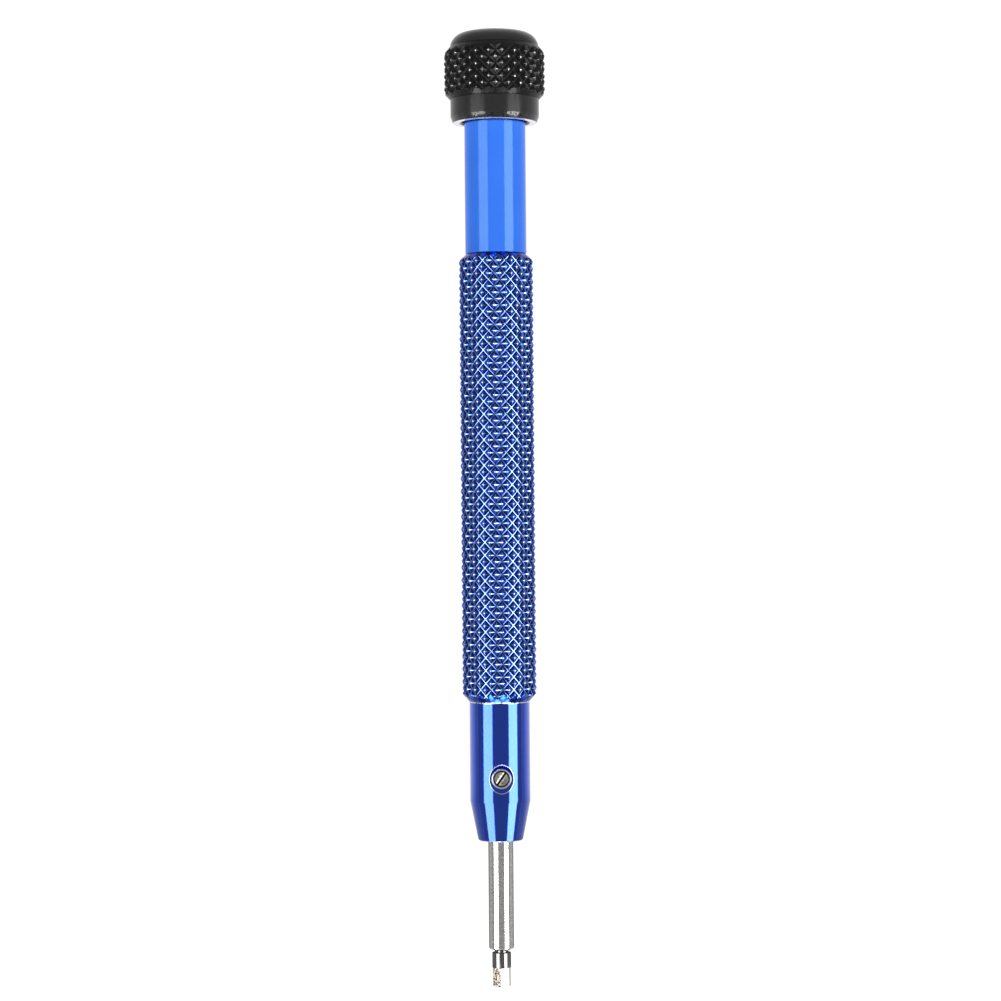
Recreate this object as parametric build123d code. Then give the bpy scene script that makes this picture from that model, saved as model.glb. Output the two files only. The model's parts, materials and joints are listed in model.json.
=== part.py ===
from build123d import *
import math
import os

# Watchmaker screwdriver with a clamped bit and a free-turning ball-bearing cap.
# The tool's axis is Y. The origin is the centre of the working tip's end face, +Y runs towards the cap,
# and +Z is the side of the bit's set screw. A "station" is a distance from the tip along Y.
# Profiles are drawn as (radius, station) pairs on the XY plane and turned about Y. All sizes in mm.

# ---- fits -------------------------------------------------------------------------------------------
SLIDE_GAP = 0.02        # radial clearance of the bit in its bore and of threads shown without a helix
PRESS_GAP = 0.005       # radial gap left between pieces of one body that are pressed together

# ---- bit --------------------------------------------------------------------------------------------
HEX_FLATS = 2.0         # across the flats of the hexagonal tip
HEX_TURN = 38.0         # turn of the hexagon about the axis, degrees; a corner lies 8 degrees off +Z
TIP_R = 1.125           # radius of the turned tip, which also trims the hexagon's corners
HEX_END = 2.24          # station where the flats run out
NECK_START = 4.02       # station where the undercut neck begins
NECK_R = 0.80
NECK_SLOPE = 0.10       # length of the step down into the neck
NECK_END = 4.27         # station where the neck flares to the shoulder
SHOULDER = 4.55         # station of the shank's shoulder
SHOULDER_EDGE = 0.08
TIP_EDGE = 0.10
BIT_REAR_EDGE = 0.20
SHANK_R = 1.5
BIT_END = 33.5          # rear end of the shank, inside the nose
FLAT_Z = 1.2            # height of the flat that the set screw bears on
FLAT_START = 22.6
BIT_TRAVEL_ROOM = 1.5   # free depth of the bore behind the bit

# ---- barrel -----------------------------------------------------------------------------------------
NOSE_FACE = 17.52       # station of the nose's end face
NOSE_FACE_R = 2.69
NOSE_EDGE = 0.12        # edge break of the nose face and of the bore's mouth
NOSE_TAPER_END = 22.26
NOSE_R = 3.62
KNURL_R = 4.5           # over the crests of the diamond knurl
KNURL_START = 34.12     # foot of the front chamfer
KNURL_CHAMFER = 0.90    # length along the axis of both end chamfers
BARREL_END = 87.75
BARREL_END_R = 3.58     # foot of the rear chamfer
DRILL_POINT = 59.0      # half angle of a drill's point, degrees

# ---- set screw --------------------------------------------------------------------------------------
SCREW_STATION = 25.1
SCREW_R = 1.0           # M2
SCREW_TOP = 3.05        # height of the screw's slotted end over the axis
SCREW_EDGE = 0.12
SLOT_WIDTH = 0.30
SLOT_DEPTH = 0.40
SLOT_TURN = -35.0       # turn of the slot about Z, away from the tool's axis, degrees
SINK_BOTTOM = 2.88      # height where the 90 degree countersink meets the tapped hole

# ---- sleeve and spindle -----------------------------------------------------------------------------
SLEEVE_R = 3.67
SLEEVE_BORE_R = 2.30
SLEEVE_END = 104.20
SLEEVE_EDGE = 0.10
STUD_R = 2.0            # M4 stud in the barrel
STUD_START = 77.75
STUD_HOLE_START = 76.6
STUD_RELIEF_R = 1.6
STUD_RELIEF = 1.25
STUD_LEAD = 0.3         # lead chamfer of the stud
SPINDLE_R = 2.28
FLANGE_R = 3.2
FLANGE_END = 105.0
SEAT_R = 1.95           # shoulder that the inner ring stands on
JOURNAL_END_GAP = 0.1   # the journal stops short of the ring's face, so the washer clamps the ring
END_TAP_START = 101.6
END_TAP_R = 1.0         # M2

# ---- bearing, 3 x 8 x 3 -----------------------------------------------------------------------------
BRG_BORE_R = 1.5
BRG_R = 4.0
BRG_START = 105.3
BRG_WIDTH = 3.0
BALL_COUNT = 7
BALL_R = 0.60
PITCH_R = 2.75          # radius of the circle of ball centres
BALL_PLAY = 0.01        # gap between a ball and each raceway
GROOVE_DEPTH = 0.15
RING_EDGE = 0.10        # edge break of the bore and the outside
LAND_EDGE = 0.03        # edge break of the lands beside the raceways
SHIELD_T = 0.15
SHIELD_INSET = 0.05
SHIELD_R_IN = 2.38
SHIELD_R_OUT = 3.44
CAGE_R_IN = 2.52
CAGE_R_OUT = 2.98
CAGE_BACK = 0.85        # the cage's ring reaches this far behind the balls' plane
CAGE_FRONT = 0.32       # and its fingers this far in front of it
POCKET_GAP = 0.04

# ---- washer and screw on the spindle ----------------------------------------------------------------
WASHER_R = 2.2
WASHER_BORE_R = 1.1
WASHER_T = 0.4
WASHER_EDGE = 0.08
HEAD_R = 1.85
HEAD_T = 1.15
HEAD_CROWN = 0.35       # chamfer round the head's top
HEAD_SLOT = 0.5
BRG_SCREW_START = 102.7
BRG_SCREW_LEAD = 0.2

# ---- cap --------------------------------------------------------------------------------------------
CAP_START = 103.46      # underside
CAP_UNDER_R = 5.04
CAP_RING_R = 5.31
CAP_RING_START = 104.15
CAP_RING_END = 106.22
CAP_KNURL_R = 6.08
CAP_KNURL_START = 107.08
CAP_KNURL_END = 111.66
CAP_DOME_START = 112.62  # where the knurl's rear chamfer meets the dome
DOME_TOP = 114.60
DOME_R = 18.0           # crown radius
DOME_EDGE_R = 1.8       # shoulder radius
CAP_MOUTH_R = 4.2
CAP_MOUTH_DEPTH = 0.2
CAP_CAVITY_R = 3.55
CAP_CAVITY_END = 110.8

BRG_END = BRG_START + BRG_WIDTH
BALL_PLANE = BRG_START + BRG_WIDTH / 2
INNER_LAND_R = PITCH_R - BALL_R - BALL_PLAY + GROOVE_DEPTH
OUTER_LAND_R = PITCH_R + BALL_R + BALL_PLAY - GROOVE_DEPTH


def turned(*outline):
    """Solid of revolution about the tool's axis, from (radius, station) corners."""
    with BuildPart() as p:
        with BuildSketch(Plane.XY):
            with BuildLine():
                Polyline(*outline, close=True)
            make_face()
        revolve(axis=Axis.Y)
    return p.part


def rod(radius, start, end):
    return turned((0, start), (radius, start), (radius, end), (0, end))


def drilled(radius, mouth, bottom):
    """A drill's cut from one station to another, with its pointed end beyond the second."""
    point = radius / math.tan(math.radians(DRILL_POINT)) * math.copysign(1, bottom - mouth)
    return turned((0, mouth), (radius, mouth), (radius, bottom), (0, bottom + point))


def upright(radius_low, radius_high, low, high):
    """Cone or cylinder that stands on Z at the set screw's station."""
    with BuildPart() as p:
        with BuildSketch(Plane.XZ):
            with BuildLine():
                Polyline((0, low), (radius_low, low), (radius_high, high), (0, high), close=True)
            make_face()
        revolve(axis=Axis.Z)
    return p.part.moved(Location((0, SCREW_STATION, 0)))


def driver_bit():
    body = turned(
        (0, 0), (TIP_R - TIP_EDGE, 0), (TIP_R, TIP_EDGE), (TIP_R, NECK_START),
        (NECK_R, NECK_START + NECK_SLOPE), (NECK_R, NECK_END), (SHANK_R - SHOULDER_EDGE, SHOULDER),
        (SHANK_R, SHOULDER + SHOULDER_EDGE), (SHANK_R, BIT_END - BIT_REAR_EDGE),
        (SHANK_R - BIT_REAR_EDGE, BIT_END), (0, BIT_END),
    )
    with BuildPart() as hexagon:
        with BuildSketch(Plane.XZ):
            RegularPolygon(radius=HEX_FLATS / 2, side_count=6, major_radius=False, rotation=HEX_TURN)
        extrude(amount=-HEX_END)
    outside_hexagon = rod(2 * SHANK_R, -1, HEX_END) - hexagon.part
    flat_length = BIT_END - FLAT_START + 1
    flat = Pos(0, FLAT_START + flat_length / 2, FLAT_Z + SHANK_R / 2) * Box(
        2 * SHANK_R, flat_length, SHANK_R)
    return body - outside_hexagon - flat


def grip_barrel():
    bore_r = SHANK_R + SLIDE_GAP
    body = turned(
        (0, NOSE_FACE), (NOSE_FACE_R - NOSE_EDGE, NOSE_FACE), (NOSE_FACE_R, NOSE_FACE + NOSE_EDGE),
        (NOSE_R, NOSE_TAPER_END), (NOSE_R, KNURL_START), (KNURL_R, KNURL_START + KNURL_CHAMFER),
        (KNURL_R, BARREL_END - KNURL_CHAMFER), (BARREL_END_R, BARREL_END), (0, BARREL_END),
    )
    mouth = turned((0, NOSE_FACE), (bore_r + NOSE_EDGE, NOSE_FACE), (bore_r, NOSE_FACE + NOSE_EDGE),
                   (0, NOSE_FACE + NOSE_EDGE))
    bit_bore = drilled(bore_r, NOSE_FACE - 1, BIT_END + BIT_TRAVEL_ROOM)
    stud_bore = drilled(STUD_R, BARREL_END + 1, STUD_HOLE_START)
    screw_bore = upright(SCREW_R, SCREW_R, 0, KNURL_R)
    sink = upright(SCREW_R, SCREW_R + KNURL_R - SINK_BOTTOM, SINK_BOTTOM, KNURL_R)
    return body - mouth - bit_bore - stud_bore - screw_bore - sink


def bit_set_screw():
    radius = SCREW_R - SLIDE_GAP
    low = FLAT_Z + SLIDE_GAP
    body = upright(radius, radius, low + SCREW_EDGE, SCREW_TOP - SCREW_EDGE)
    body += upright(radius - SCREW_EDGE, radius, low, low + SCREW_EDGE)
    body += upright(radius, radius - SCREW_EDGE, SCREW_TOP - SCREW_EDGE, SCREW_TOP)
    slot = Pos(0, SCREW_STATION, SCREW_TOP) * Rot(0, 0, SLOT_TURN) * Box(
        SLOT_WIDTH, 3 * SCREW_R, 2 * SLOT_DEPTH)
    return body - slot


def colour_sleeve():
    return turned(
        (SLEEVE_BORE_R, BARREL_END), (SLEEVE_R - SLEEVE_EDGE, BARREL_END),
        (SLEEVE_R, BARREL_END + SLEEVE_EDGE), (SLEEVE_R, SLEEVE_END - SLEEVE_EDGE),
        (SLEEVE_R - SLEEVE_EDGE, SLEEVE_END), (SLEEVE_BORE_R, SLEEVE_END),
    )


def spindle():
    stud_r = STUD_R - SLIDE_GAP
    journal_r = BRG_BORE_R - PRESS_GAP
    journal_end = BRG_END - JOURNAL_END_GAP
    body = turned(
        (0, STUD_START), (stud_r - STUD_LEAD, STUD_START), (stud_r, STUD_START + STUD_LEAD),
        (stud_r, BARREL_END - STUD_RELIEF), (STUD_RELIEF_R, BARREL_END - STUD_RELIEF),
        (STUD_RELIEF_R, BARREL_END), (SPINDLE_R, BARREL_END), (SPINDLE_R, SLEEVE_END),
        (FLANGE_R, SLEEVE_END), (FLANGE_R, FLANGE_END), (SEAT_R, FLANGE_END), (SEAT_R, BRG_START),
        (journal_r, BRG_START), (journal_r, journal_end), (0, journal_end),
    )
    return body - drilled(END_TAP_R, BRG_END + 1, END_TAP_START)


def bearing_race(bore_r, outer_r, edge_inner, edge_outer):
    """Plain bearing ring with all four edges broken by the two given amounts."""
    return turned(
        (bore_r + edge_inner, BRG_START), (outer_r - edge_outer, BRG_START),
        (outer_r, BRG_START + edge_outer), (outer_r, BRG_END - edge_outer),
        (outer_r - edge_outer, BRG_END), (bore_r + edge_inner, BRG_END),
        (bore_r, BRG_END - edge_inner), (bore_r, BRG_START + edge_inner),
    )


def ball_groove():
    """The ring of space that the balls sweep, with their play."""
    with BuildPart() as p:
        with BuildSketch(Plane.XY):
            with Locations((PITCH_R, BALL_PLANE)):
                Circle(BALL_R + BALL_PLAY)
        revolve(axis=Axis.Y)
    return p.part


def bearing_inner_ring():
    return bearing_race(BRG_BORE_R, INNER_LAND_R, RING_EDGE, LAND_EDGE) - ball_groove()


def bearing_outer_ring():
    ring = bearing_race(OUTER_LAND_R, BRG_R - PRESS_GAP, LAND_EDGE, RING_EDGE) - ball_groove()
    recess_depth = SHIELD_INSET + SHIELD_T
    recess_r = SHIELD_R_OUT + PRESS_GAP
    ring -= rod(recess_r, BRG_START - 1, BRG_START + recess_depth)
    ring -= rod(recess_r, BRG_END - recess_depth, BRG_END + 1)
    return ring


def bearing_shield(start):
    end = start + SHIELD_T
    return turned((SHIELD_R_IN, start), (SHIELD_R_OUT, start), (SHIELD_R_OUT, end), (SHIELD_R_IN, end))


def ball_places():
    """Each ball's turn about the axis, in degrees, starting at +Z."""
    return [360 * i / BALL_COUNT for i in range(BALL_COUNT)]


def at_ball(turn):
    return Pos(0, BALL_PLANE, 0) * Rot(0, turn, 0) * Pos(0, 0, PITCH_R)


def bearing_cage():
    start = BALL_PLANE - CAGE_FRONT
    end = BALL_PLANE + CAGE_BACK
    cage = turned((CAGE_R_IN, start), (CAGE_R_OUT, start), (CAGE_R_OUT, end), (CAGE_R_IN, end))
    for turn in ball_places():
        cage -= at_ball(turn) * Cylinder(BALL_R + POCKET_GAP, 2 * BALL_R)
    return cage


def bearing_washer():
    start = BRG_END
    end = BRG_END + WASHER_T
    return turned(
        (WASHER_BORE_R, start), (WASHER_R, start), (WASHER_R, end - WASHER_EDGE),
        (WASHER_R - WASHER_EDGE, end), (WASHER_BORE_R, end),
    )


def bearing_screw():
    under_head = BRG_END + WASHER_T
    top = under_head + HEAD_T
    shank_r = END_TAP_R - SLIDE_GAP
    body = turned(
        (0, BRG_SCREW_START), (shank_r - BRG_SCREW_LEAD, BRG_SCREW_START),
        (shank_r, BRG_SCREW_START + BRG_SCREW_LEAD), (shank_r, under_head), (HEAD_R, under_head),
        (HEAD_R, top - HEAD_CROWN), (HEAD_R - HEAD_CROWN, top), (0, top),
    )
    slot = Pos(0, top, 0) * Box(HEAD_SLOT, HEAD_T, 4 * HEAD_R)
    return body - slot


def on_arc(centre, radius, angle):
    return (centre[0] + radius * math.cos(angle), centre[1] + radius * math.sin(angle))


def swivel_cap():
    crown_centre = (0, DOME_TOP - DOME_R)
    edge_x = CAP_RING_R - DOME_EDGE_R
    blend = math.acos(edge_x / (DOME_R - DOME_EDGE_R))      # where the two dome arcs meet
    edge_centre = (edge_x, crown_centre[1] + (DOME_R - DOME_EDGE_R) * math.sin(blend))
    foot = math.asin((CAP_DOME_START - edge_centre[1]) / DOME_EDGE_R)
    with BuildPart() as p:
        with BuildSketch(Plane.XY):
            with BuildLine():
                Polyline(
                    (0, DOME_TOP), (0, CAP_START), (CAP_UNDER_R, CAP_START),
                    (CAP_RING_R, CAP_RING_START), (CAP_RING_R, CAP_RING_END),
                    (CAP_KNURL_R, CAP_KNURL_START), (CAP_KNURL_R, CAP_KNURL_END),
                    on_arc(edge_centre, DOME_EDGE_R, foot),
                )
                ThreePointArc(
                    on_arc(edge_centre, DOME_EDGE_R, foot),
                    on_arc(edge_centre, DOME_EDGE_R, (foot + blend) / 2),
                    on_arc(edge_centre, DOME_EDGE_R, blend),
                )
                ThreePointArc(
                    on_arc(crown_centre, DOME_R, blend),
                    on_arc(crown_centre, DOME_R, (blend + math.pi / 2) / 2),
                    (0, DOME_TOP),
                )
            make_face()
        revolve(axis=Axis.Y)
    hollow = turned(
        (0, CAP_START - 1), (CAP_MOUTH_R, CAP_START - 1), (CAP_MOUTH_R, CAP_START),
        (BRG_R, CAP_START + CAP_MOUTH_DEPTH), (BRG_R, BRG_END), (CAP_CAVITY_R, BRG_END),
        (CAP_CAVITY_R, CAP_CAVITY_END), (0, CAP_CAVITY_END),
    )
    return p.part - hollow


def main():
    os.makedirs("parts", exist_ok=True)
    nodes = {
        "driver_bit": driver_bit(),
        "bit_set_screw": bit_set_screw(),
        "grip_barrel": grip_barrel(),
        "colour_sleeve": colour_sleeve(),
        "spindle": spindle(),
        "bearing_inner_ring": bearing_inner_ring(),
        "bearing_outer_ring": bearing_outer_ring(),
        "bearing_cage": bearing_cage(),
        "bearing_shield_front": bearing_shield(BRG_START + SHIELD_INSET),
        "bearing_shield_rear": bearing_shield(BRG_END - SHIELD_INSET - SHIELD_T),
        "bearing_washer": bearing_washer(),
        "bearing_screw": bearing_screw(),
        "swivel_cap": swivel_cap(),
    }
    for number, turn in enumerate(ball_places(), start=1):
        nodes[f"bearing_ball_{number}"] = at_ball(turn) * Sphere(BALL_R)
    for name, solid in nodes.items():
        solid.label = name
        export_step(solid, f"parts/{name}.step")


main()
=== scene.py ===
import json
import math

import bmesh
import bpy
import numpy as np
from mathutils import Matrix, Vector


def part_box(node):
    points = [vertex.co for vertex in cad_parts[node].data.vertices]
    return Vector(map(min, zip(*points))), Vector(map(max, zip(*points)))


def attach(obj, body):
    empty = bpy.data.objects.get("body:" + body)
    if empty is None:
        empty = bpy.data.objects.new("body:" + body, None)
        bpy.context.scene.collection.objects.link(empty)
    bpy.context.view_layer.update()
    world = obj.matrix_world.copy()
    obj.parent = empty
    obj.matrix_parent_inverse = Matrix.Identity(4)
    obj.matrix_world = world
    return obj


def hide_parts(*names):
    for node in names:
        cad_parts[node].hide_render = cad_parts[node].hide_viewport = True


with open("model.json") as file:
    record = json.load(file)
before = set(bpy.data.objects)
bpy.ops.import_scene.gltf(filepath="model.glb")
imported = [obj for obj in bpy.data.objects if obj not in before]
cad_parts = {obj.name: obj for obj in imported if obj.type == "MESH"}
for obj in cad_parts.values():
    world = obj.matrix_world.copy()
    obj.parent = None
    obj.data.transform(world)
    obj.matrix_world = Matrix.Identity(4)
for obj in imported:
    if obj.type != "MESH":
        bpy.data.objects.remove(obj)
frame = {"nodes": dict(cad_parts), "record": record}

# A watchmaker screwdriver that lies on its side along Y, tip at the origin, set screw facing +Z.
# Outlines are (radius, station) pairs in millimetres, turned about Y. A station is a distance
# from the tip's end face. Every mesh is made in millimetres and scaled to metres when it becomes
# an object.

MM = 0.001
AROUND = 160                      # facets round a turned piece
AROUND_SCREW = 96                 # and round the set screw and its hole
EDGE_STEPS = 3                    # facets round a broken edge
SHARP = math.radians(30)          # edges that turn more than this stay sharp
STRAIGHT = 0.02                   # corners that turn less than this, in radians, get no arc
ARC_SHARE = 0.45                  # the most of a side that an arc takes
ON_AXIS = 1e-9                    # an outline's point with a smaller radius lies on the axis
WELD = 1e-5                       # points closer than this become one
NORMAL_WEIGHT = 80                # how strongly large faces pull the shading normals

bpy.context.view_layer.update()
nodes = frame["nodes"]


def span(node):
    """Lowest and highest station of a CAD node, and its largest radius, in millimetres."""
    low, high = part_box(node)
    return low.y / MM, high.y / MM, high.x / MM


# ---- driving sizes, from the frame where it has them -----------------------------------------
nose_face, barrel_end, knurl_r = span("grip_barrel")
_, bit_end, shank_r = span("driver_bit")
sleeve_start, sleeve_end, sleeve_r = span("colour_sleeve")
cap_start, cap_top, cap_knurl_r = span("swivel_cap")
_, _, bearing_r = span("bearing_outer_ring")
screw_low, screw_high = (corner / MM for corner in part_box("bit_set_screw"))
screw_station = (screw_low.y + screw_high.y) / 2
screw_r = (screw_high.x - screw_low.x) / 2

CLEARANCE = 0.02                  # radial play of the bit in its bore and of the set screw
NOSE_FACE_R = 2.69
NOSE_R = 3.62
NOSE_EDGE = 0.12                  # the chamfers at the nose's front
TAPER_END = 22.26
BORE_R = shank_r + CLEARANCE
BORE_END = bit_end + 1.5          # station where the bore's drilled cone starts
BORE_POINT = bit_end + 2.4        # and where it ends
KNURL_FOOT = 34.12                # station where the knurl's front chamfer starts
FRONT_CHAMFER = 1.06              # length of the knurl's front chamfer along the axis
REAR_CHAMFER = 0.90               # and of its rear one
REAR_FOOT_R = 3.58
STUD_R = 2.0                      # the tapped hole in the barrel's rear end
STUD_HOLE = 76.6                  # station where its drilled cone starts
STUD_POINT = STUD_HOLE - 1.2      # and where it ends
HEX_END = 2.24                    # station where the bit's six flats run out
HEX_TURN = -8.0                   # a corner of the hexagon, in degrees from +Z
HEX_CORNER_X = -0.16              # and its place across the tool
NECK_END = 4.27                   # station that the tip's darker steel reaches
HOLE_R = screw_r + CLEARANCE      # the set screw's tapped hole
LEDGE = 0.11                      # narrow flat between the hole and its countersink
LIP_R = 1.20                      # the nose is painted pale bare metal nearer than this to the screw's axis, a painted highlight round the hole
LIP_LOW = 2.05                    # and higher than this
SINK_BOTTOM = 2.88                # height where the countersink's cone would meet the hole
SLOT_EDGE = 0.07                  # depth of the chamfers along the set screw's slot

CAP_UNDER_R = 5.04
CAP_RING_R = 5.31
CAP_RING_START = 104.15
CAP_RING_END = 106.22
CAP_KNURL_START = 107.08
CAP_KNURL_END = 111.66
CAP_DOME_START = 112.62
DOME_R = 18.0
DOME_EDGE_R = 1.8
DOME_EDGE_STEPS = 16
DOME_STEPS = 20
CAP_MOUTH_R = 4.2
CAP_MOUTH_EDGE = 0.2
SEAT_R = bearing_r + 0.005        # the bearing's seat in the cap
SEAT_END = 108.3
CAVITY_R = 3.55
CAVITY_END = 110.8


# ---- mesh tools ------------------------------------------------------------------------------
def rounded(points, radii):
    """The open outline with an arc at each inner corner, one radius for each."""
    out = [Vector(points[0])]
    for before, corner, after, r in zip(points, points[1:], points[2:], radii):
        before, corner, after = Vector(before), Vector(corner), Vector(after)
        one, two = (before - corner), (after - corner)
        turn = math.pi - one.angle(two)
        if r <= 0 or turn < STRAIGHT:
            out.append(corner)
            continue
        back = min(r * math.tan(turn / 2), ARC_SHARE * one.length, ARC_SHARE * two.length)
        r = back / math.tan(turn / 2)
        centre = corner + (one.normalized() + two.normalized()).normalized() * math.hypot(r, back)
        start = corner + one.normalized() * back - centre
        side = 1 if start.cross(corner + two.normalized() * back - centre) > 0 else -1
        for step in range(EDGE_STEPS + 1):
            a = side * turn * step / EDGE_STEPS
            out.append(centre + Vector((start.x * math.cos(a) - start.y * math.sin(a),
                                        start.x * math.sin(a) + start.y * math.cos(a))))
    out.append(Vector(points[-1]))
    return [(p.x, p.y) for p in out]


def lathe(bm, outline, around=AROUND):
    """Adds the surface that an outline makes when turned about Y. Returns the rings of vertices."""
    rings = []
    for r, y in outline:
        if r < ON_AXIS:
            rings.append([bm.verts.new((0, y, 0))])
            continue
        turns = (2 * math.pi * i / around for i in range(around))
        rings.append([bm.verts.new((r * math.sin(t), y, r * math.cos(t))) for t in turns])
    for one, two in zip(rings, rings[1:]):
        for i in range(around):
            j = (i + 1) % around
            if len(one) == 1:
                bm.faces.new((one[0], two[j], two[i]))
            elif len(two) == 1:
                bm.faces.new((one[i], one[j], two[0]))
            else:
                bm.faces.new((one[i], one[j], two[j], two[i]))
    return rings


def crease(bm, angle=SHARP):
    """Keeps the edges that turn more than an angle sharp."""
    bmesh.ops.recalc_face_normals(bm, faces=bm.faces)
    for edge in bm.edges:
        edge.smooth = not edge.is_manifold or edge.calc_face_angle() < angle


def finished(bm, name, material, body, replaces):
    """Turns a millimetre bmesh into the piece that stands for a CAD node."""
    bmesh.ops.recalc_face_normals(bm, faces=bm.faces)
    bmesh.ops.scale(bm, vec=(MM, MM, MM), verts=bm.verts)
    mesh = bpy.data.meshes.new(name)
    bm.to_mesh(mesh)
    bm.free()
    piece = bpy.data.objects.new(name, mesh)
    bpy.context.scene.collection.objects.link(piece)
    mesh.polygons.foreach_set("use_smooth", [True] * len(mesh.polygons))
    weighted = piece.modifiers.new("weighted_normals", "WEIGHTED_NORMAL")
    weighted.keep_sharp = True
    weighted.weight = NORMAL_WEIGHT
    mesh.materials.append(material)
    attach(piece, body)
    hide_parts(replaces)
    return piece


def carve(bm, *cutters):
    """Subtracts closed cutter meshes from a closed mesh and returns the result."""
    scene = bpy.context.scene.collection
    made = []
    for source in (bm, *cutters):
        bmesh.ops.recalc_face_normals(source, faces=source.faces)
        mesh = bpy.data.meshes.new("carve")
        source.to_mesh(mesh)
        source.free()
        obj = bpy.data.objects.new("carve", mesh)
        scene.objects.link(obj)
        made.append(obj)
    for cutter in made[1:]:
        cut = made[0].modifiers.new("cut", "BOOLEAN")
        cut.operation = "DIFFERENCE"
        cut.solver = "EXACT"
        cut.object = cutter
    graph = bpy.context.evaluated_depsgraph_get()
    out = bmesh.new()
    out.from_mesh(made[0].evaluated_get(graph).to_mesh())
    for obj in made:
        bpy.data.objects.remove(obj)
    bmesh.ops.remove_doubles(out, verts=out.verts, dist=WELD)
    return out


def closed_lathe(outline, around=AROUND, stand=None):
    """A closed turned solid, about Y, or about Z at the station that stand gives."""
    bm = bmesh.new()
    lathe(bm, outline, around)
    if stand is not None:
        upright = Matrix.Translation((0, stand, 0)) @ Matrix.Rotation(math.pi / 2, 4, "X")
        bmesh.ops.transform(bm, matrix=upright, verts=bm.verts)
    return bm


# ---- diamond knurl ---------------------------------------------------------------------------
RIDGE = 0.070                     # rounded ridge between two flanks, in groove spacings
RIDGE_CUT = 0.35                  # how far the ridge's middle is cut back, in ridge widths
FLANK_POINT = 0.2                 # where points lie across a flank's foot, in groove spacings
MIDWAY = 0.27                     # half the width of a pyramid at the row of points on its flanks
MIDWAY_BURNISH = 0.9              # of the ridges at that row
CREST_BURNISH = 0.6               # of the flanks' top edges
PEAK_FROM = 0.8                   # points above this relative height belong to a peak
UNEVEN = 0.06                     # how much of its height a peak may lack
CUT_RELIEF = 0.6                  # highest relief given to a chamfer's cut face
KNURL_WELD = 1e-4                 # points of a knurl closer than this become one
ON_PLANE = 1e-6                   # points this near to a cutting plane lie on it
KNURL_SHARP = math.radians(75)    # only the cut ends of a knurl stay sharp


def diamond_cell(groove_half, crest_half):
    """One pyramid between four grooves, as (a, b, height, burnish) points and faces.

    a and b run across the two families of grooves, from -0.5 to 0.5. Height is 0 at a sharp
    groove's bottom and 1 at a sharp peak. Burnish is 1 on the lines that the knurling wheel
    polishes, which are the groove bottoms, the ridges and the peak, and 0 on the flanks.
    groove_half is the half width of a groove's rounded bottom and crest_half that of a pyramid's
    blunt top.
    """
    points, faces = [], []
    index = {}

    def point(a, b, height, burnish):
        key = (round(a, 6), round(b, 6))
        if key not in index:
            index[key] = len(points)
            points.append((a, b, height, burnish))
        return index[key]

    edge = 0.5 - groove_half
    for quarter in range(4):
        cos, sin = [(1, 0), (0, 1), (-1, 0), (0, -1)][quarter]

        def at(a, b, height, burnish):
            return point(a * cos - b * sin, a * sin + b * cos, height, burnish)

        def row(size, inner, height, burnish, ridge_burnish):
            """Points across the flank that faces +a, from one ridge's middle to the next."""
            corner = size - RIDGE_CUT * RIDGE
            across = [-(size - RIDGE)] + inner + [size - RIDGE]
            flank = [at(size, b, height, burnish) for b in across]
            return ([at(corner, -corner, height, ridge_burnish)] + flank
                    + [at(corner, corner, height, ridge_burnish)])

        inside = [-FLANK_POINT, 0, FLANK_POINT]
        stops = [-0.5, -edge + RIDGE] + inside + [edge - RIDGE, 0.5]
        valley = [at(0.5, b, groove_half, 1) for b in stops]
        foot = row(edge, inside, 2 * groove_half, 0, 0)
        middle = row(MIDWAY, [0], 1 - 2 * MIDWAY, 0, MIDWAY_BURNISH)
        crest = row(crest_half, [], 1 - 2 * crest_half, CREST_BURNISH, 1)
        peak = at(0, 0, 1 - crest_half, 1)
        for i in range(6):
            faces.append((valley[i], valley[i + 1], foot[i + 1], foot[i]))
        faces += [
            (foot[0], foot[1], middle[1], middle[0]), (foot[1], foot[2], middle[1]),
            (foot[2], foot[3], middle[2], middle[1]), (foot[3], foot[4], middle[3], middle[2]),
            (foot[4], foot[5], middle[3]), (foot[5], foot[6], middle[4], middle[3]),
            (middle[0], middle[1], crest[1], crest[0]), (middle[1], middle[2], crest[1]),
            (middle[2], crest[2], crest[1]), (middle[2], middle[3], crest[2]),
            (middle[3], middle[4], crest[3], crest[2]),
            (crest[0], crest[1], peak), (crest[1], crest[2], peak), (crest[2], crest[3], peak),
        ]
    return np.array(points), faces


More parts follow.
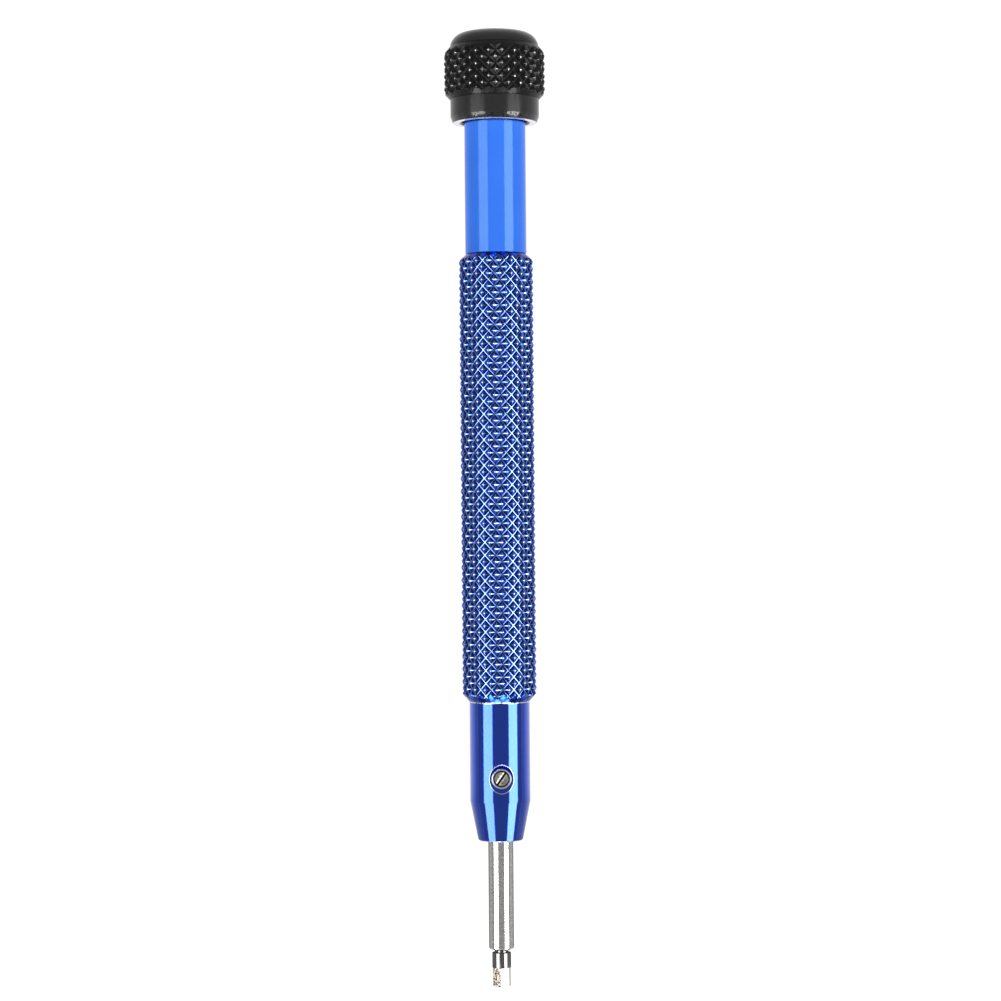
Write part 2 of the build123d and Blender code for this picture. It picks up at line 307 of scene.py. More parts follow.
def knurl_band(starts, pitch, crest_r, depth, low, high, peak, groove_half, crest_half, seed):
    """A bmesh of a knurled band about Y.

    low and high are its ends as (foot station, foot radius, rise), where rise is how fast the end
    chamfer climbs, in radius per length. peak is where one pyramid stands, as its turn from +Z in
    degrees and its station. Two float layers hold each vertex's relief, from 0 in a groove to 1
    on a crest, and its burnish. The band is made as a flat sheet, with its length round the tool
    along X and its height along Z, and then rolled up.
    """
    cell, cell_faces = diamond_cell(groove_half, crest_half)
    top = 1 - crest_half
    jitter = np.random.default_rng(seed)
    low_y, high_y = low[0], high[0]
    first_turn = peak[0] / 360 * starts                  # in starts, like every turn below
    below = math.ceil((peak[1] - low_y) / (pitch / 2)) + 1
    above = math.ceil((high_y - peak[1]) / (pitch / 2)) + 1
    cells = []
    for half_turn in range(2 * starts):
        for step in range(-below, above + 1):
            if (step + half_turn) % 2 == 0:
                cells.append((first_turn + half_turn / 2, peak[1] + step * pitch / 2))
    cells = np.array(cells)
    a, b, h, burnish = cell.T
    x = (cells[:, :1] + (a + b)[None, :] / 2) * (2 * math.pi * crest_r / starts)
    y = cells[:, 1:] + (a - b)[None, :] / 2 * pitch
    bluntness = 1 - UNEVEN * jitter.random(len(cells))[:, None] * (h > PEAK_FROM)[None, :]
    height = crest_r - depth * (top - h[None, :] * bluntness)
    relief = np.broadcast_to(h / top, height.shape)
    burnish = np.broadcast_to(burnish, height.shape)
    bm = bmesh.new()
    relief_layer = bm.verts.layers.float.new("relief")
    burnish_layer = bm.verts.layers.float.new("burnish")
    verts = []
    columns = (x, y, height, relief, burnish)
    for px, py, pz, pr, pb in zip(*(column.ravel() for column in columns)):
        v = bm.verts.new((px, py, pz))
        v[relief_layer] = pr
        v[burnish_layer] = pb
        verts.append(v)
    size = len(cell)
    for c in range(len(cells)):
        for f in cell_faces:
            bm.faces.new([verts[c * size + i] for i in f])
    bmesh.ops.remove_doubles(bm, verts=bm.verts, dist=KNURL_WELD)
    for (foot_y, foot_r, rise), outward in ((low, -1), (high, 1)):
        everything = list(bm.verts) + list(bm.edges) + list(bm.faces)
        bmesh.ops.bisect_plane(bm, geom=everything, plane_co=(0, foot_y, 0),
                               plane_no=(0, outward, 0), clear_outer=True, dist=ON_PLANE)
        everything = list(bm.verts) + list(bm.edges) + list(bm.faces)
        bmesh.ops.bisect_plane(bm, geom=everything, plane_co=(0, foot_y, foot_r),
                               plane_no=Vector((0, outward * rise, 1)), dist=ON_PLANE)
        for v in bm.verts:
            ceiling = foot_r - outward * rise * (v.co.y - foot_y)
            if v.co.z > ceiling:
                v.co.z = ceiling
                v[relief_layer] = min(v[relief_layer], CUT_RELIEF)
                v[burnish_layer] = 0
    for v in bm.verts:
        turn = v.co.x / crest_r
        v.co = (v.co.z * math.sin(turn), v.co.y, v.co.z * math.cos(turn))
    bmesh.ops.remove_doubles(bm, verts=bm.verts, dist=KNURL_WELD)
    crease(bm, KNURL_SHARP)
    return bm


def open_loop(bm, station):
    """Boundary edges of a mesh at a station."""
    near = 1e-3
    return [edge for edge in bm.edges
            if edge.is_boundary and all(abs(v.co.y - station) < near for v in edge.verts)]


def add(bm, other):
    """Moves another mesh, with its own creases, into a mesh."""
    crease(other)
    mesh = bpy.data.meshes.new("add")
    other.to_mesh(mesh)
    other.free()
    bm.from_mesh(mesh)
    bpy.data.meshes.remove(mesh)


# ---- materials -------------------------------------------------------------------------------
NOISE_ROUGHNESS = 0.55
NOISE_RANGE = (0.3, 0.7)          # most of a noise lies between these
TURNED = (0.25, 12, 0.25)         # stretches noise into the rings that a turning tool leaves
MIX_ONE, MIX_TWO, MIXED = 6, 7, 2     # a Mix node's colour inputs and its colour output


def grey(tone):
    return (tone, tone, tone)


class Shader:
    """A Principled material with a few helpers for its procedural detail."""

    def __init__(self, name):
        self.material = bpy.data.materials.new(name)
        self.material.use_nodes = True
        self.nodes = self.material.node_tree.nodes
        self.links = self.material.node_tree.links
        self.main = self.nodes["Principled BSDF"]
        self.place = self.nodes.new("ShaderNodeTexCoord").outputs["Object"]

    def set(self, **values):
        for key, value in values.items():
            self.main.inputs[key.replace("_", " ")].default_value = value

    def join(self, out, into):
        self.links.new(out, self.main.inputs[into] if isinstance(into, str) else into)

    def noise(self, size, stretch=(1, 1, 1), detail=3.0):
        """Noise whose features are about size millimetres, divided by stretch along each axis."""
        mapping = self.nodes.new("ShaderNodeMapping")
        mapping.inputs["Scale"].default_value = [s / (size * MM) for s in stretch]
        self.links.new(self.place, mapping.inputs["Vector"])
        noise = self.nodes.new("ShaderNodeTexNoise")
        noise.inputs["Scale"].default_value = 1.0
        noise.inputs["Detail"].default_value = detail
        noise.inputs["Roughness"].default_value = NOISE_ROUGHNESS
        self.links.new(mapping.outputs["Vector"], noise.inputs["Vector"])
        return noise.outputs["Fac"]

    def ramp(self, value, *stops):
        """A colour ramp over a value. Each stop is a position and a colour or a grey tone."""
        node = self.nodes.new("ShaderNodeValToRGB")
        colours = node.color_ramp.elements
        while len(colours) < len(stops):
            colours.new(0.5)
        for element, (position, colour) in zip(colours, stops):
            element.position = position
            element.color = (*(colour if isinstance(colour, tuple) else grey(colour)), 1)
        self.links.new(value, node.inputs["Fac"])
        return node.outputs["Color"]

    def span(self, value, low, high, from_low=0.0, from_high=1.0):
        """A value mapped in a straight line onto low to high, and held there outside its range."""
        node = self.nodes.new("ShaderNodeMapRange")
        self.links.new(value, node.inputs["Value"])
        node.inputs["From Min"].default_value = from_low
        node.inputs["From Max"].default_value = from_high
        node.inputs["To Min"].default_value = low
        node.inputs["To Max"].default_value = high
        return node.outputs["Result"]

    def wander(self, noise, low, high):
        """A value that wanders between low and high with a noise."""
        return self.span(noise, low, high, *NOISE_RANGE)

    def math(self, kind, one, two):
        node = self.nodes.new("ShaderNodeMath")
        node.operation = kind
        for value, socket in ((one, node.inputs[0]), (two, node.inputs[1])):
            if isinstance(value, (int, float)):
                socket.default_value = value
            else:
                self.links.new(value, socket)
        return node.outputs["Value"]

    def mix(self, factor, one, two):
        """Colour one where the factor is 0 and colour two where it is 1."""
        node = self.nodes.new("ShaderNodeMix")
        node.data_type = "RGBA"
        self.links.new(factor, node.inputs[0])
        for value, socket in ((one, node.inputs[MIX_ONE]), (two, node.inputs[MIX_TWO])):
            if isinstance(value, tuple):
                socket.default_value = (*value, 1)
            else:
                self.links.new(value, socket)
        return node.outputs[MIXED]

    def along(self, axis):
        """The object coordinate along an axis, in millimetres."""
        parts = self.nodes.new("ShaderNodeSeparateXYZ")
        self.links.new(self.place, parts.inputs["Vector"])
        return self.math("MULTIPLY", parts.outputs[axis], 1 / MM)

    def below(self, value, limit, soft=0.02):
        """1 where a value is below the limit and 0 above it, both in millimetres."""
        return self.span(value, 1.0, 0.0, limit - soft, limit + soft)

    def above(self, value, limit, soft):
        """0 where a value is below the limit and 1 above it, both in millimetres."""
        return self.span(value, 0.0, 1.0, limit - soft, limit + soft)

    def distance(self, one, two):
        """How far two values lie apart."""
        return self.math("ABSOLUTE", self.math("SUBTRACT", one, two), 0.0)

    def length(self, one, two):
        """The length of the vector with these two parts."""
        squares = self.math("ADD", self.math("MULTIPLY", one, one), self.math("MULTIPLY", two, two))
        return self.math("SQRT", squares, 0.0)

    def attribute(self, name):
        node = self.nodes.new("ShaderNodeAttribute")
        node.attribute_name = name
        return node.outputs["Fac"]

    def knurl(self):
        """A knurl's relief and burnish, and 1 where the surface is knurled and 0 elsewhere."""
        relief, burnish = self.attribute("relief"), self.attribute("burnish")
        return relief, burnish, self.span(self.math("ADD", relief, burnish), 0.0, 1.0, 0.02, 0.06)

    def bump(self, height, distance, under=None):
        """distance is the height of the relief in millimetres."""
        node = self.nodes.new("ShaderNodeBump")
        node.inputs["Distance"].default_value = distance * MM
        self.links.new(height, node.inputs["Height"])
        if under is not None:
            self.links.new(under, node.inputs["Normal"])
        return node.outputs["Normal"]


def anodised_blue():
    s = Shader("anodised_blue")
    groove_line, worn_blue, highlight_bare_metal = (0.23, 0.41, 1.0), (0.66, 0.72, 0.92), (0.84, 0.87, 0.96)
    coat_on_flanks, rough_worn, rough_bare = 0.12, 0.30, 0.32
    relief, burnish, knurled = s.knurl()
    lines = s.math("POWER", burnish, 1.1)
    smooth = s.ramp(s.noise(6.0), (0.3, (0.004, 0.069, 0.66)), (0.7, (0.004, 0.077, 0.76)))
    # The flanks are painted darker towards the grooves' bottoms: painted shade in the grooves.
    flanks_shaded_to_grooves = s.ramp(relief, (0.22, (0.001, 0.008, 0.09)), (0.66, (0.003, 0.084, 0.74)))
    body = s.mix(lines, s.mix(knurled, smooth, flanks_shaded_to_grooves), groove_line)
    tops = s.math("MULTIPLY", relief, burnish)
    worn = s.ramp(s.math("MULTIPLY", tops, s.noise(0.8, detail=2)), (0.20, 0.0), (0.42, 0.9))
    x, y, z = s.along("X"), s.along("Y"), s.along("Z")
    # The countersink's rim, where its cone meets the nose, is painted as a highlight in pale bare
    # metal.
    from_screw = s.length(x, s.math("SUBTRACT", y, screw_station))
    over_cone = s.distance(s.math("SUBTRACT", z, from_screw), SINK_BOTTOM - HOLE_R)
    outside = s.above(s.length(x, z), NOSE_R - 0.08, 0.01)
    rim = s.math("MULTIPLY", s.below(over_cone, 0.028), outside)
    # The lip round the tapped hole is painted as a highlight in pale bare metal.
    lip = s.math("MULTIPLY", s.below(from_screw, LIP_R), s.above(z, LIP_LOW, 0.05))
    # Speckled painted highlights, in pale bare metal, along the edges at the knurl's foot and at
    # the nose's front.
    speckle = s.span(s.noise(0.25), 0.0, 1.0, 0.40, 0.55)
    foot = s.below(s.distance(y, KNURL_FOOT), 0.07)
    front = s.below(y, nose_face + 0.10)
    edges = s.math("MULTIPLY", s.math("MAXIMUM", foot, front), speckle)
    # All three are painted highlights, laid on as pale rough bare metal that the lamps light.
    bare_and_highlit = s.math("MAXIMUM", lip, s.math("MAXIMUM", s.math("MULTIPLY", rim, 0.7), edges))
    s.join(s.mix(bare_and_highlit, s.mix(worn, body, worn_blue), highlight_bare_metal), "Base Color")
    coat = s.mix(knurled, grey(1), s.mix(lines, grey(coat_on_flanks), grey(1)))
    s.join(coat, "Coat Weight")
    s.set(Metallic=1.0, Coat_Roughness=0.03, Coat_IOR=1.55)
    gloss = s.wander(s.noise(0.5, TURNED), 0.05, 0.11)
    s.join(s.mix(bare_and_highlit, s.mix(worn, gloss, grey(rough_worn)), grey(rough_bare)), "Roughness")
    grain = s.bump(s.noise(0.06, detail=3), 0.0010)
    s.join(s.bump(s.noise(1.2, TURNED), 0.0008, under=grain), "Normal")
    return s.material


def blue_plastic():
    s = Shader("blue_plastic")
    shade = (0.004, 0.010, 0.14)
    body = s.ramp(s.noise(5.0), (0.3, (0.028, 0.138, 0.64)), (0.7, (0.032, 0.150, 0.68)))
    lit = s.below(s.along("Y"), cap_start - 0.10, soft=0.10)      # all but a line under the cap
    s.join(s.mix(lit, shade, body), "Base Color")
    s.set(Metallic=0.0, IOR=1.38, Specular_Tint=(0.6, 1.0, 1.0, 1.0))
    s.join(s.wander(s.noise(1.0, (1, 0.3, 1)), 0.06, 0.12), "Roughness")
    s.join(s.bump(s.noise(0.9, (1, 0.35, 1), detail=1), 0.001), "Normal")
    return s.material


def anodised_black():
    s = Shader("anodised_black")
    knurled_black, mouth_black = grey(0.003), grey(0.004)
    bare_peak, bare_under = grey(0.62), (0.90, 0.90, 0.92)
    relief, burnish, knurled = s.knurl()
    smooth = s.ramp(s.noise(3.0), (0.3, (0.009, 0.009, 0.009)), (0.7, (0.014, 0.014, 0.0145)))
    dark = s.mix(knurled, smooth, knurled_black)
    tops = s.math("MULTIPLY", relief, s.math("POWER", burnish, 1.2))
    worn = s.ramp(s.math("MULTIPLY", tops, s.noise(0.22, detail=2)), (0.26, 0.0), (0.46, 1.0))
    body = s.mix(worn, dark, bare_peak)
    y = s.along("Y")
    chamfer = s.below(y, CAP_RING_START)                  # metal that was turned bare
    under = s.below(y, cap_start + 0.01, soft=0.01)
    mouth = s.below(s.length(s.along("X"), s.along("Z")), CAP_MOUTH_R + 0.06)
    grainy = s.ramp(s.noise(0.22, detail=3),
                    (0.38, (0.012, 0.012, 0.012)), (0.56, (0.085, 0.085, 0.082)))
    body = s.mix(under, s.mix(chamfer, body, grainy), bare_under)
    s.join(s.mix(s.math("MULTIPLY", mouth, chamfer), body, mouth_black), "Base Color")
    s.join(s.math("MAXIMUM", chamfer, worn), "Metallic")
    s.set(IOR=1.25, Sheen_Roughness=0.50)
    s.join(s.span(knurled, 0.30, 0.07), "Sheen Weight")
    satin = s.mix(worn, s.wander(s.noise(0.4, TURNED), 0.16, 0.24), grey(0.12))
    s.join(s.mix(chamfer, satin, grey(0.14)), "Roughness")
    grain = s.bump(s.noise(0.04, detail=2), 0.0008)
    s.join(s.bump(s.noise(1.0, TURNED), 0.0005, under=grain), "Normal")
    return s.material


def tool_steel():
    s = Shader("tool_steel")
    hardened = (0.26, 0.255, 0.25)
    x, y = s.along("X"), s.along("Y")
    plain = s.ramp(s.noise(0.28, (1, 1.5, 1), detail=4),
                   (0.36, (0.66, 0.65, 0.63)), (0.62, (1.0, 0.99, 0.97)))
    body = s.mix(s.below(y, NECK_END), plain, hardened)
    # The tip's flats on the -X side are sandy, as milled.
    milled = s.math("MULTIPLY", s.below(y, HEX_END), s.below(x, HEX_CORNER_X))
    sandy = s.ramp(s.noise(0.20, detail=3), (0.42, (0.05, 0.04, 0.03)), (0.56, (0.60, 0.54, 0.48)))
    s.join(s.mix(milled, body, sandy), "Base Color")
    s.set(Metallic=1.0, Specular_Tint=(0.35, 0.35, 0.35, 1.0))
    ground = s.wander(s.noise(0.25, (1, 2, 1), detail=4), 0.06, 0.13)
    s.join(s.mix(milled, ground, grey(0.40)), "Roughness")
    pits = s.bump(s.math("MULTIPLY", s.noise(0.16, detail=3), milled), 0.06)
    grain = s.bump(s.noise(0.10, detail=4), 0.0022, under=pits)
    s.join(s.bump(s.noise(0.5, TURNED), 0.0008, under=grain), "Normal")
    return s.material


def screw_steel():
    s = Shader("screw_steel")
    face = s.ramp(s.noise(0.22, detail=4), (0.36, (0.16, 0.155, 0.13)), (0.5, (0.44, 0.43, 0.38)))
    y = s.along("Y")
    in_nose = s.below(y, bit_end)                         # the other screws stand inside the cap
    from_axis = s.length(s.along("X"), s.math("SUBTRACT", y, screw_station))
    # Painted shade: the set screw's slot and the ring round its edge are painted near black, as the
    # shade in the slot and in the gap round the screw.
    slot = s.math("MULTIPLY", s.below(s.along("Z"), screw_high.z - SLOT_EDGE - 0.03), in_nose)
    rim = s.math("MULTIPLY", s.above(from_axis, screw_r - 0.18, 0.03), in_nose)
    painted_shade = s.math("MAXIMUM", slot, rim)
    s.join(s.mix(painted_shade, face, grey(0.03)), "Base Color")
    s.set(Metallic=1.0)
    s.join(s.mix(painted_shade, s.wander(s.noise(0.3), 0.26, 0.40), grey(0.6)), "Roughness")
    s.join(s.bump(s.noise(0.15, detail=4), 0.008), "Normal")
    return s.material


def steel(name, tone, rough_low, rough_high, rings, depth):
    """A plain metal. rings stretches its grain, and depth is the grain's height in millimetres."""
    s = Shader(name)
    light = tuple(min(1.0, c * 1.12) for c in tone)
    s.join(s.ramp(s.noise(0.9, (1, 2, 1)), (0.3, tone), (0.7, light)), "Base Color")
    s.set(Metallic=1.0)
    s.join(s.wander(s.noise(0.5, rings), rough_low, rough_high), "Roughness")
    grain = s.bump(s.noise(0.04, detail=2), depth / 2)
    s.join(s.bump(s.noise(0.8, rings), depth, under=grain), "Normal")
    return s.material


materials = {
    "anodised_blue": anodised_blue(),
    "blue_plastic": blue_plastic(),
    "anodised_black": anodised_black(),
    "tool_steel": tool_steel(),
    "screw_steel": screw_steel(),
    "bearing_steel": steel("bearing_steel", (0.62, 0.62, 0.63), 0.06, 0.12, TURNED, 0.0004),
    "cage_brass": steel("cage_brass", (0.72, 0.52, 0.22), 0.22, 0.34, (1, 1, 1), 0.001),
}


# ---- pieces ----------------------------------------------------------------------------------
def grip_barrel():
    seam = KNURL_FOOT - 0.03                             # the nose ends here and is bridged over
    front = rounded(
        [(0, BORE_POINT), (BORE_R, BORE_END), (BORE_R, nose_face + NOSE_EDGE),
         (BORE_R + NOSE_EDGE, nose_face), (NOSE_FACE_R - NOSE_EDGE, nose_face),
         (NOSE_FACE_R, nose_face + NOSE_EDGE), (NOSE_R, TAPER_END), (NOSE_R, seam)],
        [0, 0, 0.05, 0.05, 0.08, 0.08])
    foot = front.pop()
    clear = 1.7 * screw_r                                # keeps the hole's cut faces short
    front += [(NOSE_R, screw_station - clear), (NOSE_R, screw_station + clear), foot]
    nose = bmesh.new()
    rings = lathe(nose, front)
    nose.faces.new(rings[-1])
    sink_top = NOSE_R + 0.5                              # well above the nose
    ledge_z = SINK_BOTTOM + LEDGE
    cone = rounded([(HOLE_R, 0), (HOLE_R, ledge_z), (HOLE_R + LEDGE, ledge_z),
                    (HOLE_R + sink_top - SINK_BOTTOM, sink_top)], [0.05, 0.03])
    hole = closed_lathe([(0, 0), *cone, (0, sink_top)], around=AROUND_SCREW, stand=screw_station)
    nose = carve(nose, hole)
    near = 1e-4
    back = [f for f in nose.faces if all(abs(v.co.y - seam) < near for v in f.verts)]
    bmesh.ops.delete(nose, geom=back, context="FACES")
    bm = knurl_band(starts=19, pitch=1.52, crest_r=knurl_r, depth=0.47,
                    low=(KNURL_FOOT, NOSE_R, (knurl_r - NOSE_R) / FRONT_CHAMFER),
                    high=(barrel_end, REAR_FOOT_R, (knurl_r - REAR_FOOT_R) / REAR_CHAMFER),
                    peak=(-6.7, 64.64), groove_half=0.080, crest_half=0.095, seed=3)
    add(bm, nose)
    tail = bmesh.new()
    lathe(tail, [(STUD_R, barrel_end), (STUD_R, STUD_HOLE), (0, STUD_POINT)])
    add(bm, tail)
    bmesh.ops.bridge_loops(bm, edges=open_loop(bm, seam) + open_loop(bm, KNURL_FOOT))
    bmesh.ops.bridge_loops(bm, edges=open_loop(bm, barrel_end))
    return finished(bm, "grip_barrel_body", materials["anodised_blue"], "handle",
                    "grip_barrel")


def colour_sleeve():
    bore = 2.30
    seam = sleeve_start + 1                              # the outline starts and ends in the bore
    outline = [(bore, seam), (bore, sleeve_start), (sleeve_r, sleeve_start),
               (sleeve_r, sleeve_end), (bore, sleeve_end), (bore, seam)]
    bm = bmesh.new()
    lathe(bm, rounded(outline, [0.05, 0.12, 0.12, 0.05]))
    bmesh.ops.remove_doubles(bm, verts=bm.verts, dist=WELD)
    crease(bm)
    return finished(bm, "colour_sleeve_body", materials["blue_plastic"], "handle",
                    "colour_sleeve")


def dome_outline():
    """The cap's dome from its foot to its middle: an edge of small radius and a flat crown."""
    crown_y = cap_top - DOME_R
    edge_x = CAP_RING_R - DOME_EDGE_R
    blend = math.acos(edge_x / (DOME_R - DOME_EDGE_R))
    edge_y = crown_y + (DOME_R - DOME_EDGE_R) * math.sin(blend)
    foot = math.asin((CAP_DOME_START - edge_y) / DOME_EDGE_R)
    dome = []
    for i in range(DOME_EDGE_STEPS + 1):
        a = foot + (blend - foot) * i / DOME_EDGE_STEPS
        dome.append((edge_x + DOME_EDGE_R * math.cos(a), edge_y + DOME_EDGE_R * math.sin(a)))
    for i in range(1, DOME_STEPS):
        a = blend + (math.pi / 2 - blend) * i / DOME_STEPS
        dome.append((DOME_R * math.cos(a), crown_y + DOME_R * math.sin(a)))
    return dome + [(0, cap_top)]


def swivel_cap():
    dome = dome_outline()
    foot_r = dome[0][0]
    front_rise = (cap_knurl_r - CAP_RING_R) / (CAP_KNURL_START - CAP_RING_END)
    rear_rise = (cap_knurl_r - foot_r) / (CAP_DOME_START - CAP_KNURL_END)
    bm = knurl_band(starts=24, pitch=1.52, crest_r=cap_knurl_r, depth=0.46,
                    low=(CAP_RING_END, CAP_RING_R, front_rise),
                    high=(CAP_DOME_START, foot_r, rear_rise),
                    peak=(-1.7, 110.56), groove_half=0.04, crest_half=0.10, seed=5)
    gap = 0.02                                           # what is bridged at each end of the knurl
    ring_seam, dome_seam = CAP_RING_END - gap, CAP_DOME_START + gap
    front = bmesh.new()
    lathe(front, rounded(
        [(0, CAVITY_END), (CAVITY_R, CAVITY_END), (CAVITY_R, SEAT_END), (SEAT_R, SEAT_END),
         (SEAT_R, cap_start + CAP_MOUTH_EDGE), (CAP_MOUTH_R, cap_start), (CAP_UNDER_R, cap_start),
         (CAP_RING_R, CAP_RING_START), (CAP_RING_R, ring_seam)],
        [0, 0, 0, 0.04, 0.05, 0.10, 0.10]))
    add(bm, front)
    crown = bmesh.new()
    lathe(crown, [(foot_r, dome_seam)] + dome[1:])
    add(bm, crown)
    bmesh.ops.bridge_loops(bm, edges=open_loop(bm, ring_seam) + open_loop(bm, CAP_RING_END))
    bmesh.ops.bridge_loops(bm, edges=open_loop(bm, CAP_DOME_START) + open_loop(bm, dome_seam))
    return finished(bm, "swivel_cap_body", materials["anodised_black"], "cap",
                    "swivel_cap")


def hexagon_cutter():
    """A closed ring with a hexagonal hole, which leaves the tip's six flats."""
    half_across, outer_r, turned = 1.0, 3, math.radians(HEX_TURN)
    corner_r = half_across / math.cos(math.pi / 6)
    ring = bmesh.new()
    corners = {}
    for key, r in (("inner", corner_r), ("outer", outer_r)):
        turns = [turned + i * math.pi / 3 for i in range(6)]
        for end, y in (("front", -1), ("back", HEX_END)):
            points = [(r * math.sin(a), y, r * math.cos(a)) for a in turns]
            corners[key, end] = [ring.verts.new(point) for point in points]
    sides = [(("inner", "front"), ("inner", "back")), (("outer", "back"), ("outer", "front")),
             (("outer", "front"), ("inner", "front")), (("inner", "back"), ("outer", "back"))]
    for i in range(6):
        j = (i + 1) % 6
        for one, two in sides:
            one, two = corners[one], corners[two]
            ring.faces.new((one[i], one[j], two[j], two[i]))
    return ring


def driver_bit():
    tip_r, neck_r, neck, shoulder = 1.125, 0.80, 4.02, 4.55
    outline = rounded(
        [(0, 0), (tip_r, 0), (tip_r, neck), (neck_r, neck + 0.10), (neck_r, neck + 0.25),
         (shank_r - 0.05, shoulder), (shank_r, shoulder + 0.10), (shank_r, bit_end), (0, bit_end)],
        [0.08, 0.04, 0.05, 0.05, 0.04, 0.05, 0.2])
    # The flat that the set screw bears on runs from flat_start past the bit's end.
    flat_z, flat_start, flat_width, flat_length, cut_height = 1.2, 22.6, 4, 20, 2
    flat = bmesh.new()
    bmesh.ops.create_cube(flat, size=1.0)
    middle = (0, flat_start + flat_length / 2, flat_z + cut_height / 2)
    bmesh.ops.transform(flat, verts=flat.verts, matrix=Matrix.Translation(middle)
                        @ Matrix.Diagonal((flat_width, flat_length, cut_height, 1)))
    bm = carve(closed_lathe(outline), hexagon_cutter(), flat)
    crease(bm)
    return finished(bm, "driver_bit_body", materials["tool_steel"], "bit",
                    "driver_bit")


def bit_set_screw():
    low, high, edge = screw_low.z, screw_high.z, 0.12
    outline = rounded([(0, low), (screw_r - edge, low), (screw_r, low + edge), (screw_r, high),
                       (0, high)], [0.02, 0.05, 0.10])
    bm = closed_lathe(outline, around=AROUND_SCREW, stand=screw_station)
    half_width, slot_depth, slot_turn = 0.13, 0.40, math.radians(-35)
    flare = half_width + 2 * SLOT_EDGE                   # the chamfers are laid well back
    profile = [(-half_width, -slot_depth), (half_width, -slot_depth), (half_width, -SLOT_EDGE),
               (flare, 0), (flare, 1), (-flare, 1), (-flare, 0), (-half_width, -SLOT_EDGE)]
    slot = bmesh.new()
    ends = [[slot.verts.new((x, y, z)) for x, z in profile] for y in (-2, 2)]
    for end in ends:
        slot.faces.new(end)
    for i in range(len(profile)):
        j = (i + 1) % len(profile)
        slot.faces.new((ends[0][i], ends[0][j], ends[1][j], ends[1][i]))
    place = Matrix.Translation((0, screw_station, high)) @ Matrix.Rotation(slot_turn, 4, "Z")
    bmesh.ops.transform(slot, verts=slot.verts, matrix=place)
    bm = carve(bm, slot)
    crease(bm)
    return finished(bm, "bit_set_screw_body", materials["screw_steel"], "set_screw",
                    "bit_set_screw")


grip_barrel()
colour_sleeve()
swivel_cap()
driver_bit()
bit_set_screw()

for row in frame["record"]["subparts"]:
    node = nodes[row["node"]]
    node.data.materials.clear()
    node.data.materials.append(materials[row["material_slot"]])


# ---- floor, light and camera -----------------------------------------------------------------
REST_LOW = (KNURL_FOOT + FRONT_CHAMFER, knurl_r)       # the tool rests on the barrel's front edge
REST_HIGH = (CAP_KNURL_START, cap_knurl_r)             # and on the cap's knurl
TOOL_MIDDLE = 58.2                                     # station that the camera looks at
# Floor, lights and camera are rolled about the tool, so the set screw shows a little aside.
ROLLED = Matrix.Rotation(math.radians(-2.9), 4, "Y")

FLOOR_HALF_SIZE = 3.0                                  # metres
FLOOR_TONE = 0.15
FLOOR_SEEN = 0.9                                       # how bright the floor is for the camera
GLOW_NEAR, GLOW_FAR = 0.70, 0.1                        # and for other rays, close by and far off
GLOW_REACH = (4, 30)                                   # millimetres beside the tool
TIP_SHARE = 0.30                                       # how much of that glow lies beside the tip
TIP_FADE = (-19, -12)                                  # it falls to that between these places,
                                                       # in millimetres from REST_LOW's station

CAMERA_HEIGHT = 319.2
CAMERA_ASIDE = 0.31
CAMERA_TURN = math.radians(-0.475)
CAMERA_LENS = 95.7


def floor():
    slope = math.atan2(REST_HIGH[1] - REST_LOW[1], REST_HIGH[0] - REST_LOW[0])
    height = -REST_LOW[1] / math.cos(slope)
    bm = bmesh.new()
    bmesh.ops.create_grid(bm, x_segments=1, y_segments=1, size=FLOOR_HALF_SIZE)
    mesh = bpy.data.meshes.new("floor")
    bm.to_mesh(mesh)
    bm.free()
    obj = bpy.data.objects.new("floor", mesh)
    bpy.context.scene.collection.objects.link(obj)
    place = Matrix.Translation((0, REST_LOW[0] * MM, height * MM))
    obj.matrix_world = ROLLED @ place @ Matrix.Rotation(-slope, 4, "X")
    s = Shader("floor_white")
    s.set(Base_Color=(*grey(FLOOR_TONE), 1), Roughness=0.8, Emission_Color=(1, 1, 1, 1))
    aside = s.math("ABSOLUTE", s.along("X"), 0.0)
    glow = s.span(aside, GLOW_NEAR, GLOW_FAR, *GLOW_REACH)
    glow = s.math("MULTIPLY", glow, s.span(s.along("Y"), TIP_SHARE, 1.0, *TIP_FADE))
    seen = s.nodes.new("ShaderNodeLightPath").outputs["Is Camera Ray"]
    s.join(s.math("MAXIMUM", glow, s.math("MULTIPLY", seen, FLOOR_SEEN)), "Emission Strength")
    mesh.materials.append(s.material)


def area_light(name, size, radiance, place):
    """A flat light that shines along its own -Z from a place given beside the tool's middle."""
    light = bpy.data.lights.new(name, "AREA")
    light.shape = "RECTANGLE"
    light.size, light.size_y = size
    light.energy = radiance * math.pi * light.size * light.size_y
    obj = bpy.data.objects.new(name, light)
    bpy.context.scene.collection.objects.link(obj)
    obj.matrix_world = ROLLED @ Matrix.Translation((0, TOOL_MIDDLE * MM, 0)) @ place


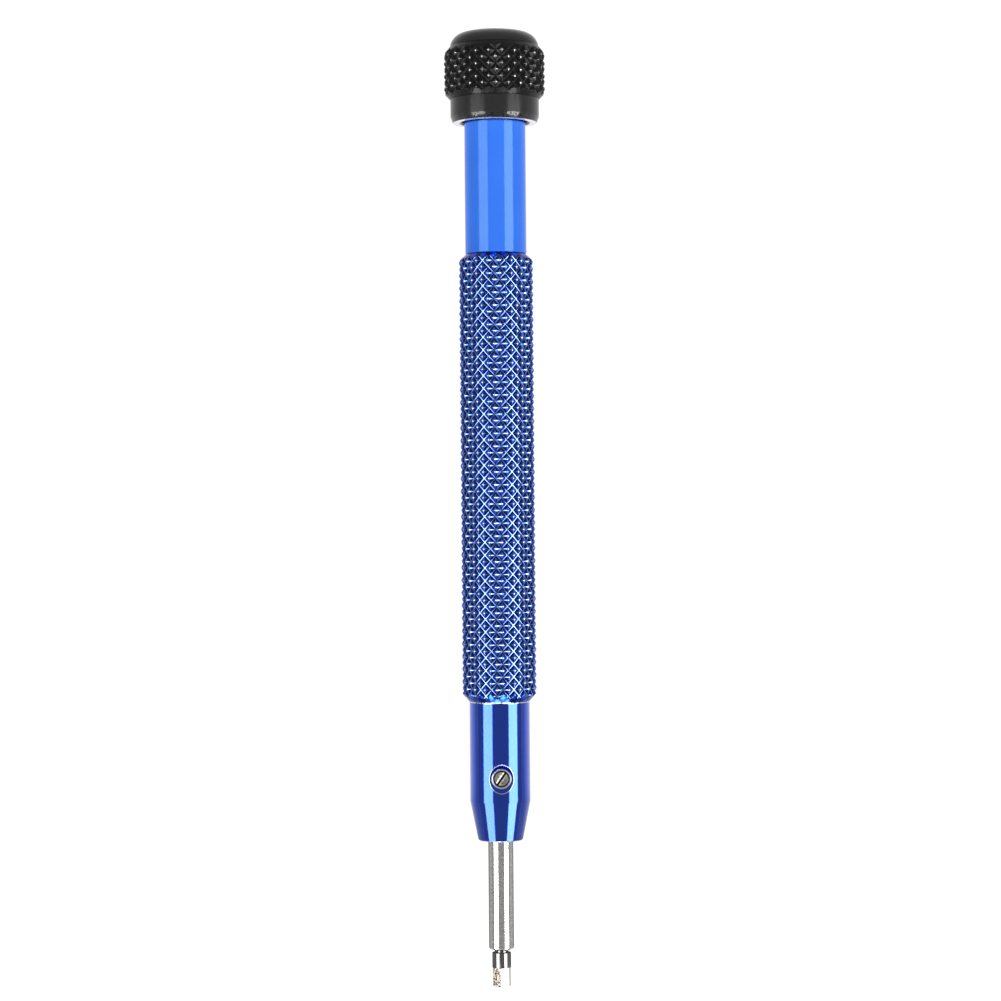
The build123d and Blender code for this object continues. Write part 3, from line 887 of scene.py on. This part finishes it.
def strip_light(name, angle_in, angle_out, to_tip, to_cap, distance, radiance):
    """A long soft box along Y, seen from the tool between two angles from straight up, and
    reaching so many degrees towards the tip's end and towards the cap's end."""
    middle = math.radians((angle_in + angle_out) / 2)
    half = math.radians(abs(angle_out - angle_in) / 2)
    tip_y = -distance * math.tan(math.radians(to_tip))
    cap_y = distance * math.tan(math.radians(to_cap))
    size = (2 * distance * math.tan(half), cap_y - tip_y)
    area_light(name, size, radiance, Matrix.Rotation(middle, 4, "Y")
               @ Matrix.Translation((0, (tip_y + cap_y) / 2, distance)))


def front_card(low, high, half_width, distance, radiance):
    """A low white card beyond the tip, between two heights in degrees, which the barrel's front
    chamfer mirrors."""
    low_z, high_z = (distance * math.tan(math.radians(angle)) for angle in (low, high))
    size = (2 * distance * math.tan(math.radians(half_width)), high_z - low_z)
    middle = (0, -distance, (low_z + high_z) / 2)
    area_light("front_card", size, radiance, Matrix.Translation(middle)
               @ Matrix.Rotation(math.radians(90), 4, "X"))


def sky(camera_tone, light_tone):
    """A pale surround for the camera and a dimmer one for the light that reaches the object."""
    world = bpy.data.worlds.new("surround")
    bpy.context.scene.world = world
    world.use_nodes = True
    tree = world.node_tree
    back = tree.nodes["Background"]
    seen = tree.nodes.new("ShaderNodeLightPath").outputs["Is Camera Ray"]
    mix = tree.nodes.new("ShaderNodeMix")
    mix.data_type = "RGBA"
    mix.inputs[MIX_ONE].default_value = (*grey(light_tone), 1)
    mix.inputs[MIX_TWO].default_value = (*grey(camera_tone), 1)
    tree.links.new(seen, mix.inputs[0])
    tree.links.new(mix.outputs[MIXED], back.inputs["Color"])


def camera():
    data = bpy.data.cameras.new("camera")
    data.sensor_width = 36.0
    data.lens = CAMERA_LENS
    data.clip_start = 0.01
    obj = bpy.data.objects.new("camera", data)
    bpy.context.scene.collection.objects.link(obj)
    place = Matrix.Translation((CAMERA_ASIDE * MM, TOOL_MIDDLE * MM, CAMERA_HEIGHT * MM))
    obj.matrix_world = ROLLED @ place @ Matrix.Rotation(CAMERA_TURN, 4, "Z")
    bpy.context.scene.camera = obj


floor()
strip_light("strip_left", -28.5, -65, to_tip=34, to_cap=12, distance=1.0, radiance=5.3)
strip_light("strip_right", 34.5, 69.5, to_tip=34, to_cap=12, distance=1.0, radiance=6.8)
front_card(low=1, high=11, half_width=36, distance=0.9, radiance=12.0)
sky(camera_tone=0.95, light_tone=0.30)
camera()
bpy.context.scene.view_settings.view_transform = "Standard"
